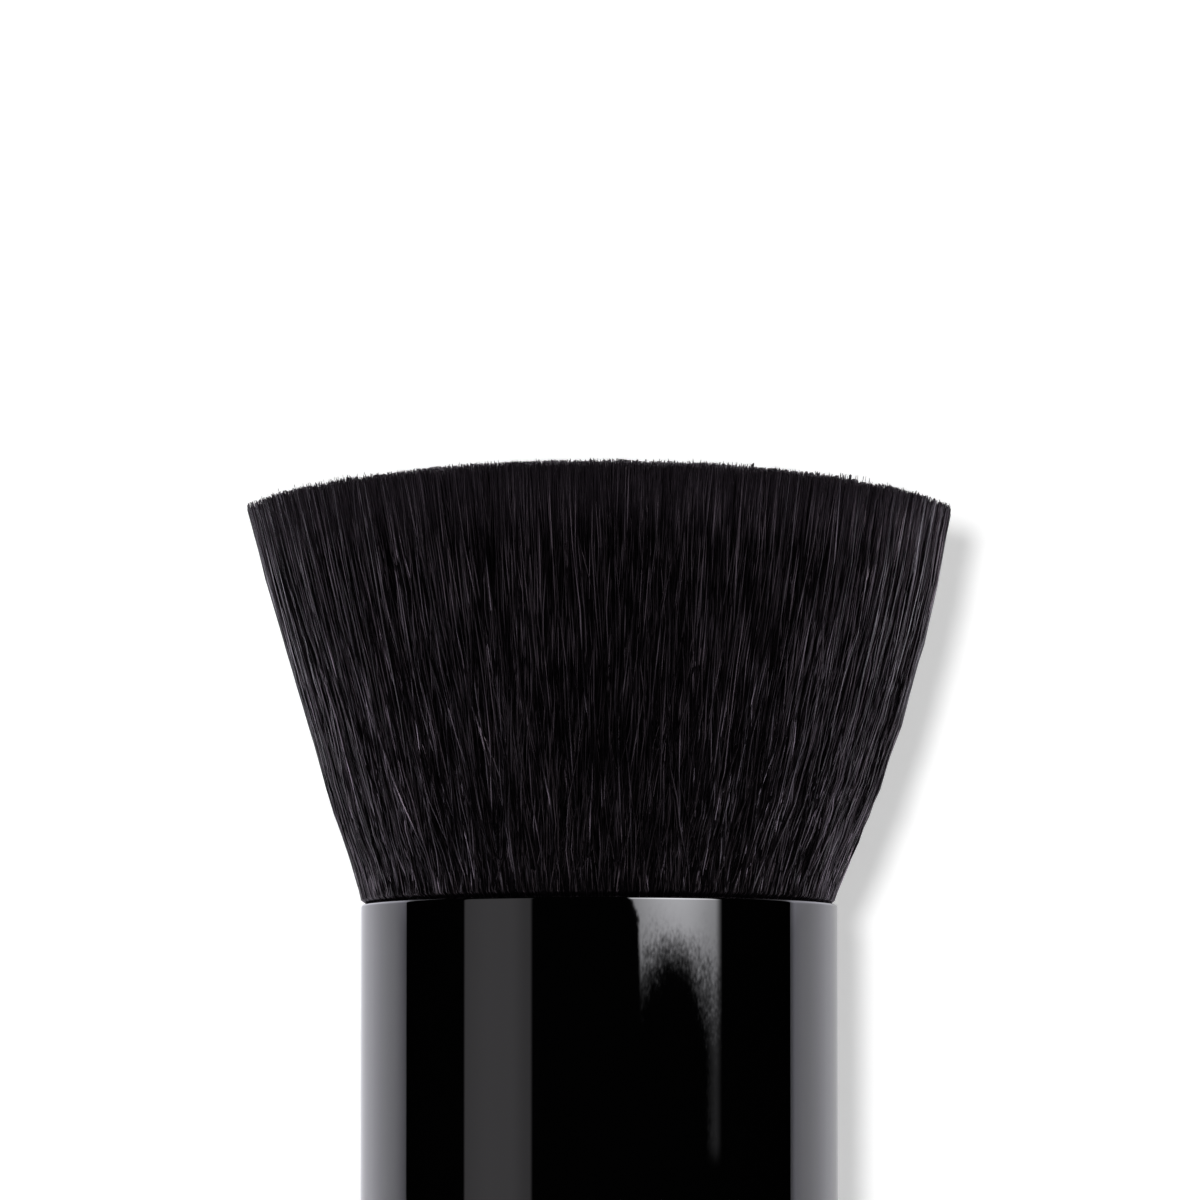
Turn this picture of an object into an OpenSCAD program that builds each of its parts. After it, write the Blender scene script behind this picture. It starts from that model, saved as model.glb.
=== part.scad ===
// Flat-topped kabuki brush: a flared, dense bristle head in a short glossy tube handle.
// Millimetres, +Z up. The origin is the middle of the base that the brush stands on.

/* [Handle tube] */
// Outside diameter of the handle tube
handle_d = 32; // [30:0.5:36]
// Height of the whole handle, from the base to the rim
handle_h = 48; // [44:0.5:60]
// Wall thickness of the drawn tube
tube_wall = 0.6; // [0.6:0.05:0.8]
// Rounding of the rim's outer edge
rim_round = 0.45; // [0.2:0.05:0.45]
// Rounding of the rim's inner edge
rim_inner_round = 0.1; // [0.05:0.01:0.14]
// Bevel around the tube's lower edge, which leaves a fine groove above the base cap
tube_bevel = 0.2; // [0.1:0.05:0.4]

/* [Bristle head] */
// Diameter across the bristle tips
head_d = 47.1; // [42:0.1:54]
// Height of the outermost tips above the rim
head_h = 26.6; // [22:0.1:36]
// How far the cut of the tips rises from the edge to the middle
dome_h = 2.8; // [0:0.1:5]
// How far the flare bows outwards half-way up
flare_bow = 0.7; // [0:0.1:1.5]
// Rows of strands across the head, each way
strand_rows = 19; // [18:1:20]
// Share of its own cell that a strand fills at the bend in its flare
bend_fill = 0.92; // [0.8:0.01:0.95]
// Share of its own cell that a strand fills at its tip
tip_fill = 0.78; // [0.5:0.01:0.85]
// How far a strand leans off the middle of its cell, as a share of its free room
lean = 0.7; // [0:0.1:0.8]
// Height of the bend above the rim
bend_h = 10; // [6:0.5:16]
// Greatest difference in length between strands
ragged = 0.7; // [0:0.1:1.2]

/* [Bristle root] */
// Height of the aluminium cup that holds the root
cup_h = 14; // [13:0.5:16]
// Depth of the cup's mouth below the rim
cup_below_rim = 2; // [1.5:0.1:3]
// Wall thickness of the cup
cup_wall = 0.4; // [0.3:0.05:0.6]
// Thickness of the resin under the bristle root
resin_floor = 1.6; // [1:0.1:2.5]
// Height of the resin collar around the bristle root
resin_collar = 2.6; // [1:0.1:3]
// Radial thickness of the resin collar
resin_wall = 1.1; // [1:0.05:1.4]

/* [Binding thread] */
// Thickness of the thread
thread_d = 0.8; // [0.6:0.05:0.85]
// Turns around the root
thread_turns = 3; // [2:1:3]
// Rise of the thread in each turn
thread_pitch = 1.3; // [1.3:0.05:1.4]

/* [Core] */
// Outer wall of the moulded core
core_wall = 1.6; // [1.2:0.1:2]
// Thickness of the plate that carries the cup
core_plate = 2.4; // [1.6:0.1:3]
// Wall around the weight's pocket
pocket_wall = 1.4; // [1:0.1:1.8]
// Width of the shoulder that stops the weight
stop_ledge = 2.2; // [1:0.1:4]
// Number of radial ribs
rib_count = 8; // [4:1:12]
// Thickness of each rib
rib_t = 1.2; // [0.8:0.1:2]

/* [Weight] */
// Diameter of the steel weight
weight_d = 20; // [16:0.5:21]
// Height of the weight
weight_h = 15; // [8:0.5:17]
// Bevel around both ends of the weight
weight_bevel = 0.6; // [0.2:0.1:1]
// Thickness of the foam pad under the weight
pad_t = 1; // [0.6:0.1:1.6]
// Diameter of the foam pad
pad_d = 18; // [12:0.5:20]

/* [Base cap] */
// Thickness of the cap's flange, between the tube and the table
flange_t = 1.8; // [1.4:0.1:3]
// Rounding of the flange's lower edge
flange_round = 0.5; // [0.2:0.05:0.8]
// Depth of the shallow dish in the underside
dish_depth = 0.4; // [0.2:0.1:0.6]
// Diameter of the dish
dish_d = 23; // [16:0.5:25]
// Height of the spigot that plugs into the core
spigot_h = 5; // [4:0.5:7]
// Wall thickness of the spigot
spigot_wall = 1.4; // [1:0.1:1.8]
// How far the snap bead stands out of the spigot
bead_out = 0.25; // [0.15:0.05:0.35]

/* [Hidden] */
$fn = 96;

// Radial clearance of a pushed or glued fit
fit = 0.05;
// Radial clearance of the weight in its pocket
weight_fit = 0.15;
// Room above a piece that must not bottom out
end_gap = 0.3;
// Seeds that fix the strands' lengths and leans
length_seed = 7;
lean_seed = 11;
// Steps in each quarter round of a rounded edge
round_steps = 6;
// Segments in each turn of the thread, and sides of its section
turn_steps = 24;
thread_sides = 6;

// Radii, from the outside in
tube_r = handle_d / 2;
bore_r = tube_r - tube_wall;
cup_r = bore_r - fit;
cup_bore_r = cup_r - cup_wall;
neck_r = cup_bore_r - fit;
waist_r = cup_bore_r - resin_wall - fit;
core_r = bore_r - fit;
core_bore_r = core_r - core_wall;
pocket_r = weight_d / 2 + weight_fit;
spigot_r = core_bore_r - fit;

// Heights, from the base up
cup_mouth_z = handle_h - cup_below_rim;
cup_base_z = cup_mouth_z - cup_h;
cup_floor_z = cup_base_z + cup_wall;
root_end_z = cup_floor_z + resin_floor;
collar_top_z = root_end_z + resin_collar;
thread_start_z = collar_top_z + fit + thread_d / 2;
thread_end_z = thread_start_z + thread_turns * thread_pitch;
waist_top_z = thread_end_z + thread_d / 2 + fit;
spigot_top_z = flange_t + spigot_h;
weight_z = flange_t + pad_t;
pocket_top_z = weight_z + weight_h + end_gap;

// Half the height of the snap bead, and its height above the flange
bead_half = 2 * bead_out;
bead_z = flange_t + spigot_h / 2;

// Points of a round corner with its centre at c, swept from angle a0 to a1.
function corner(c, r, a0, a1) = [
    for (i = [0 : round_steps])
        let (a = a0 + (a1 - a0) * i / round_steps)
            c + r * [cos(a), sin(a)]
];

// The drawn tube, with its rounded rim and its bevelled lower edge.
module handle_tube() {
    color([0.02, 0.02, 0.022])
        rotate_extrude()
            polygon(concat(
                [
                    [bore_r, flange_t],
                    [tube_r - tube_bevel, flange_t],
                    [tube_r, flange_t + tube_bevel]
                ],
                corner([tube_r - rim_round, handle_h - rim_round], rim_round, 0, 90),
                corner([bore_r + rim_inner_round, handle_h - rim_inner_round], rim_inner_round, 90, 180)
            ));
}

// Radius of the head's outline at height h above the rim: a straight flare, bowed out half-way up.
// The outer cells reach a little past the tips, because a strand doesn't fill its cell there.
cells_r = head_d / 2 / (1 - (1 - tip_fill) / strand_rows);
function flare_r(h) =
    let (rim_r = bore_r - fit, t = h / head_h)
        rim_r + (cells_r - rim_r) * t + 4 * flare_bow * t * (1 - t);

// Height of a tip above the rim, at a share s of the head's radius.
function tip_h(s) = head_h + dome_h * (1 - s * s);

// Maps the square from -1 to 1 onto the unit disc, ring by ring, with equal areas.
function disc(u, v) =
    u == 0 && v == 0 ? [0, 0]
    : abs(u) >= abs(v) ? u * [cos(45 * v / u), sin(45 * v / u)]
    : v * [sin(45 * u / v), cos(45 * u / v)];

// The strands' grid on that disc: its corners, the four corners of a cell, and the corners on its edge.
rows = strand_rows;
side = rows + 1;
strands = rows * rows;
corners = [
    for (j = [0 : rows], i = [0 : rows])
        disc(2 * i / rows - 1, 2 * j / rows - 1)
];
function cell(i, j) = [i + j * side, i + 1 + j * side, i + 1 + (j + 1) * side, i + (j + 1) * side];
edge = concat(
    [for (i = [0 : rows - 1]) i],
    [for (j = [0 : rows - 1]) rows + j * side],
    [for (i = [rows : -1 : 1]) i + rows * side],
    [for (j = [rows : -1 : 1]) j * side]
);

// The root's outline below the rim, from the top down, as radius and height.
root_profile = [
    [bore_r - fit, cup_mouth_z + end_gap + fit],
    [neck_r, cup_mouth_z + fit],
    [neck_r, waist_top_z + neck_r - waist_r],
    [waist_r, waist_top_z],
    [waist_r, root_end_z]
];

// The point that a strand is drawn in to: its cell's middle, moved by the shares u and v, from -1 to 1.
function focus(ids, u, v) =
    let (a = corners[ids[0]], b = corners[ids[1]], c = corners[ids[2]], d = corners[ids[3]])
        (a + b + c + d + u * (b + c - a - d) + v * (c + d - a - b)) / 4;

// A corner of a strand at height h above the rim, drawn in to a share of its cell.
function strand_point(corner, focus, fill, h) =
    let (p = (focus + fill * (corner - focus)) * flare_r(h))
        [p.x, p.y, handle_h + h];

// The tuft: four-sided strands that part at the rim, on the solid block of their root.
module bristle_bundle() {
    shorter = rands(0, ragged, strands, length_seed);
    lean_u = rands(-lean, lean, strands, lean_seed);
    lean_v = rands(-lean, lean, strands, lean_seed + 1);
    base = [for (c = corners) [c.x * flare_r(0), c.y * flare_r(0), handle_h]];
    shafts = [
        for (j = [0 : rows - 1], i = [0 : rows - 1])
            let (
                ids = cell(i, j),
                n = i + j * rows,
                f = focus(ids, lean_u[n], lean_v[n]),
                h = tip_h(norm(f)) - shorter[n]
            )
                each concat(
                    [for (id = ids) strand_point(corners[id], f, bend_fill, bend_h)],
                    [for (id = ids) strand_point(corners[id], f, tip_fill, h)]
                )
    ];
    rings = [
        for (level = root_profile, e = edge)
            [corners[e].x * level[0], corners[e].y * level[0], level[1]]
    ];
    first_shaft = len(base);
    first_ring = first_shaft + len(shafts);
    around = len(edge);
    levels = len(root_profile);

    // Two triangles for the wall between a lower pair and an upper pair of points.
    function wall(a, b, c, d) = [[a, d, c], [a, c, b]];

    strand_faces = [
        for (j = [0 : rows - 1], i = [0 : rows - 1])
            let (ids = cell(i, j), bend = first_shaft + 8 * (i + j * rows), tip = bend + 4)
                each concat(
                    [for (k = [0 : 3]) each wall(ids[k], ids[(k + 1) % 4], bend + (k + 1) % 4, bend + k)],
                    [for (k = [0 : 3]) each wall(bend + k, bend + (k + 1) % 4, tip + (k + 1) % 4, tip + k)],
                    [[tip, tip + 3, tip + 2], [tip, tip + 2, tip + 1]]
                )
    ];
    function ring_point(level, e) = level < 0 ? edge[e % around] : first_ring + level * around + e % around;
    root_faces = [
        for (level = [0 : levels - 1], e = [0 : around - 1])
            each wall(
                ring_point(level, e), ring_point(level, e + 1),
                ring_point(level - 1, e + 1), ring_point(level - 1, e)
            )
    ];
    bottom = [
        for (e = [1 : around - 2])
            [ring_point(levels - 1, 0), ring_point(levels - 1, e), ring_point(levels - 1, e + 1)]
    ];
    color([0.05, 0.045, 0.05])
        polyhedron(concat(base, shafts, rings), concat(strand_faces, root_faces, bottom));
}

// Radius of the thread's turns, wide enough for their straight steps to clear the root.
thread_r = (waist_r + fit + thread_d / 2) / cos(180 / turn_steps);
thread_path = [
    for (i = [0 : thread_turns * turn_steps])
        let (a = 360 * i / turn_steps)
            [thread_r * cos(a), thread_r * sin(a), thread_start_z + thread_pitch * i / turn_steps]
];

// The least gap between two stretches of the thread half a turn or more apart.
thread_gap = min([
    for (i = [0 : len(thread_path) - 1], j = [i + turn_steps / 2 : 1 : len(thread_path) - 1])
        norm(thread_path[i] - thread_path[j]) - thread_d
]);

// The thread that ties the root: one unbroken helix around the waist.
module binding_thread() {
    echo(thread_gap_mm = thread_gap);
    rounds = len(thread_path);
    points = [
        for (i = [0 : rounds - 1], k = [0 : thread_sides - 1])
            let (a = 360 * i / turn_steps, b = 360 * k / thread_sides, out = thread_d / 2 * cos(b))
                thread_path[i] + [out * cos(a), out * sin(a), thread_d / 2 * sin(b)]
    ];
    function at(i, k) = i * thread_sides + k % thread_sides;
    shell = [
        for (i = [0 : rounds - 2], k = [0 : thread_sides - 1])
            each [
                [at(i, k), at(i + 1, k), at(i + 1, k + 1)],
                [at(i, k), at(i + 1, k + 1), at(i, k + 1)]
            ]
    ];
    start_cap = [for (k = [1 : thread_sides - 2]) [at(0, 0), at(0, k), at(0, k + 1)]];
    end_cap = [for (k = [1 : thread_sides - 2]) [at(rounds - 1, 0), at(rounds - 1, k + 1), at(rounds - 1, k)]];
    color([0.75, 0.7, 0.6])
        polyhedron(points, concat(shell, start_cap, end_cap));
}

// Cured resin: a floor under the root and a collar around it, with half the fit left on each side.
module root_resin() {
    color([0.75, 0.6, 0.3])
        difference() {
            translate([0, 0, cup_floor_z])
                cylinder(r = cup_bore_r - fit / 2, h = collar_top_z - cup_floor_z);
            translate([0, 0, root_end_z - fit])
                cylinder(r = waist_r + fit / 2, h = collar_top_z);
        }
}

// The drawn aluminium cup that the root is glued into.
module hair_cup() {
    color([0.8, 0.8, 0.82])
        rotate_extrude()
            polygon(concat(
                [[0, cup_base_z]],
                corner([cup_r - cup_wall, cup_base_z + cup_wall], cup_wall, -90, 0),
                [
                    [cup_r, cup_mouth_z],
                    [cup_bore_r, cup_mouth_z],
                    [cup_bore_r, cup_floor_z],
                    [0, cup_floor_z]
                ]
            ));
}

// Outline of the snap bead, or of its groove when grown by a gap.
module bead_outline(r, gap) {
    polygon([
        [r - bead_out, bead_z - bead_half - gap],
        [r, bead_z - bead_half - gap],
        [r + bead_out, bead_z],
        [r, bead_z + bead_half + gap],
        [r - bead_out, bead_z + bead_half + gap]
    ]);
}

// The moulded core: an outer wall, a plate for the cup, and a ribbed pocket for the weight.
// Inside the pocket the ribs start above the weight, and stop it.
module handle_core() {
    pocket_out_r = pocket_r + pocket_wall;
    plate_z = cup_base_z - core_plate;
    rib_z = spigot_top_z + end_gap;
    rib_top_z = plate_z + core_plate / 2;
    rib_start_r = pocket_r - stop_ledge;
    color([0.3, 0.3, 0.32])
        difference() {
            union() {
                difference() {
                    translate([0, 0, flange_t])
                        cylinder(r = core_r, h = cup_base_z - flange_t);
                    translate([0, 0, flange_t - end_gap])
                        cylinder(r = core_bore_r, h = plate_z - flange_t + end_gap);
                }
                difference() {
                    translate([0, 0, rib_z])
                        cylinder(r = pocket_out_r, h = rib_top_z - rib_z);
                    translate([0, 0, rib_z - end_gap])
                        cylinder(r = pocket_r, h = plate_z - rib_z + end_gap);
                }
                for (i = [0 : rib_count - 1])
                    rotate(360 * i / rib_count)
                        translate([rib_start_r, -rib_t / 2, rib_z])
                            cube([core_r - core_wall / 2 - rib_start_r, rib_t, rib_top_z - rib_z]);
            }
            translate([0, 0, rib_z - end_gap])
                cylinder(r = pocket_r, h = pocket_top_z - rib_z + end_gap);
            rotate_extrude()
                bead_outline(core_bore_r, fit);
        }
}

// The steel slug that gives the handle its weight.
module weight() {
    color([0.55, 0.56, 0.58])
        rotate_extrude()
            polygon([
                [0, weight_z],
                [weight_d / 2 - weight_bevel, weight_z],
                [weight_d / 2, weight_z + weight_bevel],
                [weight_d / 2, weight_z + weight_h - weight_bevel],
                [weight_d / 2 - weight_bevel, weight_z + weight_h],
                [0, weight_z + weight_h]
            ]);
}

// The foam pad that keeps the weight from rattling.
module weight_pad() {
    color([0.2, 0.2, 0.2])
        translate([0, 0, flange_t])
            cylinder(d = pad_d, h = pad_t);
}

// The cap that closes the handle, with its foot ring, dish, spigot and snap bead.
module base_cap() {
    color([0.03, 0.03, 0.032])
        union() {
            rotate_extrude()
                polygon(concat(
                    [[0, dish_depth], [dish_d / 2 - dish_depth, dish_depth], [dish_d / 2, 0]],
                    corner([tube_r - flange_round, flange_round], flange_round, -90, 0),
                    [
                        [tube_r, flange_t - tube_bevel],
                        [tube_r - tube_bevel, flange_t],
                        [0, flange_t]
                    ]
                ));
            rotate_extrude()
                polygon([
                    [spigot_r - spigot_wall, flange_t - dish_depth],
                    [spigot_r, flange_t - dish_depth],
                    [spigot_r, bead_z - bead_half],
                    [spigot_r + bead_out, bead_z],
                    [spigot_r, bead_z + bead_half],
                    [spigot_r, spigot_top_z - spigot_wall / 2],
                    [spigot_r - spigot_wall / 2, spigot_top_z],
                    [spigot_r - spigot_wall, spigot_top_z]
                ]);
        }
}

handle_tube();
bristle_bundle();
binding_thread();
root_resin();
hair_cup();
handle_core();
weight();
weight_pad();
base_cap();
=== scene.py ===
"""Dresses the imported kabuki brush: fine black bristles, a lacquered handle, the pieces inside it and a small
studio."""

from math import pi, radians, tan

import bpy
import numpy as np
from bpy.props import FloatProperty, FloatVectorProperty, IntProperty, PointerProperty
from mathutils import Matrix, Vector


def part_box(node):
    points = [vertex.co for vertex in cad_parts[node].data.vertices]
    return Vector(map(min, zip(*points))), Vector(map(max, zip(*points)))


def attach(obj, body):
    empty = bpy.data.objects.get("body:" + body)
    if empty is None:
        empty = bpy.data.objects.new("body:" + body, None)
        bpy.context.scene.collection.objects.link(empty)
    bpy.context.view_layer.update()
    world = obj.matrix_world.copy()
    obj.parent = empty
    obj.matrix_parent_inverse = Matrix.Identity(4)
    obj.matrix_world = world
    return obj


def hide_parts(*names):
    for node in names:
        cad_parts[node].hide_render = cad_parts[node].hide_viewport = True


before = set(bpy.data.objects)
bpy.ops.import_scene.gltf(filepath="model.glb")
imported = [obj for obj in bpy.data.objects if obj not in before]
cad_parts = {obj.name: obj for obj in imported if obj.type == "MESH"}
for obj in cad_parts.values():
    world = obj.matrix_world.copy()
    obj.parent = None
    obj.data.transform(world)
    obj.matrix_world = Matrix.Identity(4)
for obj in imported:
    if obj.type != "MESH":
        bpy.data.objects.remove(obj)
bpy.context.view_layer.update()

bl_info = {
    "name": "Kabuki Brush",
    "version": (1, 0, 0),
    "blender": (4, 5, 0),
    "location": "View3D > Sidebar > Kabuki Brush",
    "description": "Builds the bristles and finishes of a kabuki brush round its packed frame",
    "category": "Add Mesh",
}

MM = 0.001

# Places that the frame gives
tube_low, tube_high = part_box("handle_tube")
bundle_low, bundle_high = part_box("bristle_bundle")
cup_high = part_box("hair_cup")[1]
RIM_Z = tube_high.z
TUBE_LOW_Z = tube_low.z
TUBE_R = tube_high.x
TIP_Z = bundle_high.z
HEAD_R = (bundle_high.x - bundle_low.x) / 2
CUP_R = cup_high.x
CUP_MOUTH_Z = cup_high.z
CUP_CLEARANCE = 0.05 * MM

BODY = "root"
SEED = 938
SHARE = {"min": 0.0, "max": 1.0}

# Shares of a bristle's length at which its path has a point, closest together where it bends most
SIDE_STEPS = (0, 0.04, 0.055, 0.095, 0.145, 0.2, 0.26, 0.325, 0.4, 0.48, 0.57, 0.68, 0.82, 0.995, 1)
CROWN_STEPS = (0, 0.985, 1)

# Side bristles start below the rim and crown bristles below their own tips
SIDE_ROOT = -1.2 * MM
CROWN_LENGTH = 4.2 * MM

# Each strip light's width in degrees round the axis, and the reach of the cards that carry them
LEFT_CARD = (-68, -30)
RIGHT_CARD = (13.5, 61.5)
CARD_REACH = 400 * MM


class KabukiHeadSettings(bpy.types.PropertyGroup):
    """Sizes and colours of the bristle head."""

    side_count: IntProperty(
        name="Side bristles", description="Bristles in the outer layer", default=14000, min=100
    )
    crown_count: IntProperty(
        name="Crown bristles", description="Bristle ends that make the crown", default=36000, min=100
    )
    stray_count: IntProperty(
        name="Stray bristles", description="Bristles that lie across the others", default=90, min=0
    )
    bristle_d: FloatProperty(
        name="Bristle thickness", description="Diameter of a bristle", default=0.1 * MM, unit="LENGTH"
    )
    layer: FloatProperty(
        name="Outer layer", description="Share of the head's radius that the outer layer takes",
        default=0.1, **SHARE
    )
    dome_h: FloatProperty(
        name="Dome", description="Rise of the cut from its edge to its middle",
        default=2.8 * MM, unit="LENGTH"
    )
    front_rise: FloatProperty(
        name="Front rise", description="How much higher the cut's edge is at the front and back",
        default=1.2 * MM, unit="LENGTH"
    )
    bow: FloatProperty(
        name="Bow", description="How far the flare bows outwards half-way up",
        default=0.7 * MM, unit="LENGTH"
    )
    bow_right: FloatProperty(
        name="Bow to the right", description="Extra bow on the right, taken away on the left",
        default=0.35 * MM, unit="LENGTH"
    )
    swell: FloatProperty(
        name="Swell", description="How far the bristles stand out just above the rim",
        default=0.18 * MM, unit="LENGTH"
    )
    spill: FloatProperty(
        name="Spill", description="How far the lowest bristles stand out over the rim",
        default=0.27 * MM, unit="LENGTH"
    )
    swell_left: FloatProperty(
        name="Swell to the left", description="Extra swell on the left, taken away on the right",
        default=0.11 * MM, unit="LENGTH"
    )
    ragged: FloatProperty(
        name="Ragged cut", description="Usual difference in length between bristles",
        default=0.07 * MM, unit="LENGTH"
    )
    tuft_ragged: FloatProperty(
        name="Ragged tufts", description="Usual difference in length between tufts",
        default=0.1 * MM, unit="LENGTH"
    )
    wave: FloatProperty(
        name="Wave", description="Usual slope of a bristle's waves against its own line",
        default=0.12, **SHARE
    )
    tuft: FloatProperty(
        name="Tuft size", description="Width of the tufts that bristles gather in",
        default=0.45 * MM, unit="LENGTH"
    )
    lock: FloatProperty(
        name="Lock size", description="Width of the locks that lean and stand out together",
        default=2.2 * MM, unit="LENGTH"
    )
    crimp: FloatProperty(
        name="Crimp", description="How far a lock swings out and in along its height",
        default=0.09 * MM, unit="LENGTH"
    )
    crimp_length: FloatProperty(
        name="Crimp length", description="Height of one swing out and in", default=4.4 * MM, unit="LENGTH"
    )
    gather: FloatProperty(
        name="Gather", description="How far bristles draw together at a tuft's tip", default=0.4, **SHARE
    )
    deep_colour: FloatVectorProperty(
        name="Deep colour", description="Colour of the darkest bristles", subtype="COLOR",
        default=(0.0004, 0.00035, 0.00045)
    )
    pale_colour: FloatVectorProperty(
        name="Pale colour", description="Colour of the palest bristles", subtype="COLOR",
        default=(0.0036, 0.0029, 0.0038)
    )
    tip_colour: FloatVectorProperty(
        name="Tip colour", description="Colour of the bristles' fine tips", subtype="COLOR",
        default=(0.0148, 0.0120, 0.0154)
    )
    # Painted light: the crown's tips are far paler than the bristles' own colour, standing in for light that
    # falls on the crown from above
    crown_painted_light: FloatVectorProperty(
        name="Crown colour", description="Colour of the tips inside the crown", subtype="COLOR",
        default=(0.062, 0.054, 0.062)
    )


class KabukiHandleSettings(bpy.types.PropertyGroup):
    """Sizes and colours of the handle."""

    rim_round: FloatProperty(
        name="Rim rounding", description="Rounding of the rim's outer edge",
        default=0.19 * MM, unit="LENGTH"
    )
    rim_inner_round: FloatProperty(
        name="Inner rounding", description="Rounding of the rim's inner edge",
        default=0.1 * MM, unit="LENGTH"
    )
    bevel: FloatProperty(
        name="Lower bevel", description="Bevel at the tube's lower edge", default=0.2 * MM, unit="LENGTH"
    )
    lacquer_colour: FloatVectorProperty(
        name="Lacquer", description="Colour of the lacquer", subtype="COLOR",
        default=(0.0005, 0.0005, 0.00055)
    )
    cap_colour: FloatVectorProperty(
        name="Cap", description="Colour of the base cap", subtype="COLOR",
        default=(0.0035, 0.0035, 0.0038)
    )


class KabukiStudioSettings(bpy.types.PropertyGroup):
    """Camera, lamps and surroundings."""

    camera_y: FloatProperty(
        name="Camera distance", description="Distance from the camera to the brush's axis",
        default=600 * MM, unit="LENGTH"
    )
    camera_z: FloatProperty(
        name="Camera height", description="Height of the camera above the table",
        default=24 * MM, unit="LENGTH"
    )
    camera_x: FloatProperty(
        name="Camera offset", description="Offset of the camera to the right",
        default=0.047 * MM, unit="LENGTH"
    )
    camera_tilt: FloatProperty(
        name="Camera tilt", description="Upward tilt of the camera",
        default=radians(4.247), subtype="ANGLE"
    )
    camera_half_field: FloatProperty(
        name="Half field", description="Half of the camera's field of view",
        default=radians(3.8405), subtype="ANGLE"
    )
    key_power: FloatProperty(
        name="Key light", description="Power of the key lamp", default=8.2, unit="POWER"
    )
    key_size: FloatProperty(
        name="Key size", description="Diameter of the key lamp", default=42 * MM, unit="LENGTH"
    )
    overhead_power: FloatProperty(
        name="Overhead light", description="Power of the lamp above the brush", default=1.3, unit="POWER"
    )
    ambient: FloatProperty(
        name="Ambient", description="Strength of the surrounding light", default=0.13
    )


# Shapes

def quarter_round(centre, radius, start, end, steps=10):
    """Points (r, z) on an arc: centre plus radius times cosine and sine of an angle from start to end."""
    turn = np.linspace(radians(start), radians(end), steps + 1)
    return np.stack([centre[0] + radius * np.cos(turn), centre[1] + radius * np.sin(turn)], 1)


def straight(a, b, steps):
    """Points spaced evenly from a to b, without b."""
    share = np.linspace(0, 1, steps, endpoint=False)[:, None]
    return np.asarray(a) * (1 - share) + np.asarray(b) * share


def revolved(profile, around):
    """A closed loop of points (r, z) carried round the axis: x = r cos(turn), y = r sin(turn).
    The loop runs anticlockwise with r to the right and z up, so that its faces point outwards."""
    turn = np.linspace(0, 2 * pi, around, endpoint=False)
    r, z = profile[:, 0, None], profile[:, 1, None]
    points = np.stack([r * np.cos(turn), r * np.sin(turn), z + 0 * turn], 2).reshape(-1, 3)
    row, column = np.meshgrid(np.arange(len(profile)), np.arange(around), indexing="ij")
    above, beside = (row + 1) % len(profile), (column + 1) % around
    corners = [(row, column), (row, beside), (above, beside), (above, column)]
    return points, np.stack([a * around + b for a, b in corners], 2).reshape(-1, 4)


def domed(profile, around):
    """An open line of points (r, z), from the axis below to the axis above, carried round the axis.
    Its first and last points are single poles, closed by triangles."""
    turn = np.linspace(0, 2 * pi, around, endpoint=False)
    r, z = profile[1:-1, 0, None], profile[1:-1, 1, None]
    rings = np.stack([r * np.cos(turn), r * np.sin(turn), z + 0 * turn], 2).reshape(-1, 3)
    poles = [(0, 0, profile[0, 1]), (0, 0, profile[-1, 1])]
    row, column = np.meshgrid(np.arange(len(profile) - 3), np.arange(around), indexing="ij")
    beside = (column + 1) % around
    corners = [(row, column), (row, beside), (row + 1, beside), (row + 1, column)]
    walls = np.stack([a * around + b for a, b in corners], 2).reshape(-1, 4)
    column, last = np.arange(around), len(rings) - around
    beside = (column + 1) % around
    low = np.stack([0 * column + len(rings), beside, column], 1)
    high = np.stack([0 * column + len(rings) + 1, last + column, last + beside], 1)
    return np.concatenate([rings, poles]), walls, np.concatenate([low, high])


def tubes(paths, radii, rolls, sides=3):
    """Closed tubes round many paths at once. At each point of a path a ring stands square to it:
    point + radius (cos(turn) across + sin(turn) out). Triangles join the rings and close both ends. The last
    array says which of them are shaded smooth: all but the ends."""
    count, rings, _ = paths.shape
    ahead = np.gradient(paths, axis=1)
    ahead /= np.linalg.norm(ahead, axis=2, keepdims=True)
    across = np.cross(ahead, (1.0, 0.0, 0.0))
    across /= np.linalg.norm(across, axis=2, keepdims=True)
    out = np.cross(ahead, across)
    turn = rolls[:, None, None, None] + (2 * pi / sides * np.arange(sides))[None, None, :, None]
    ring = np.cos(turn) * across[:, :, None] + np.sin(turn) * out[:, :, None]
    points = paths[:, :, None] + radii[:, :, None, None] * ring
    row, side = np.meshgrid(np.arange(rings - 1), np.arange(sides), indexing="ij")
    row, side, beside = row.ravel() * sides, side.ravel(), (side.ravel() + 1) % sides
    near = np.stack([row + side, row + beside, row + sides + beside], 1)
    far = np.stack([row + side, row + sides + beside, row + sides + side], 1)
    fan = np.arange(1, sides - 1)
    start = np.stack([0 * fan, fan + 1, fan], 1)
    end = np.stack([0 * fan, fan, fan + 1], 1) + (rings - 1) * sides
    one = np.concatenate([near, far, start, end])
    faces = one[None] + (np.arange(count) * rings * sides)[:, None, None]
    smooth = np.tile(np.arange(len(one)) < len(near) + len(far), count)
    return points.reshape(-1, 3), faces.reshape(-1, 3), smooth


def grid_faces(rows, columns):
    """The four-sided faces of an open grid whose points are listed row by row."""
    row, column = np.meshgrid(np.arange(rows - 1), np.arange(columns - 1), indexing="ij")
    at = (row * columns + column).ravel()
    return np.stack([at, at + 1, at + 1 + columns, at + columns], 1)


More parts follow.
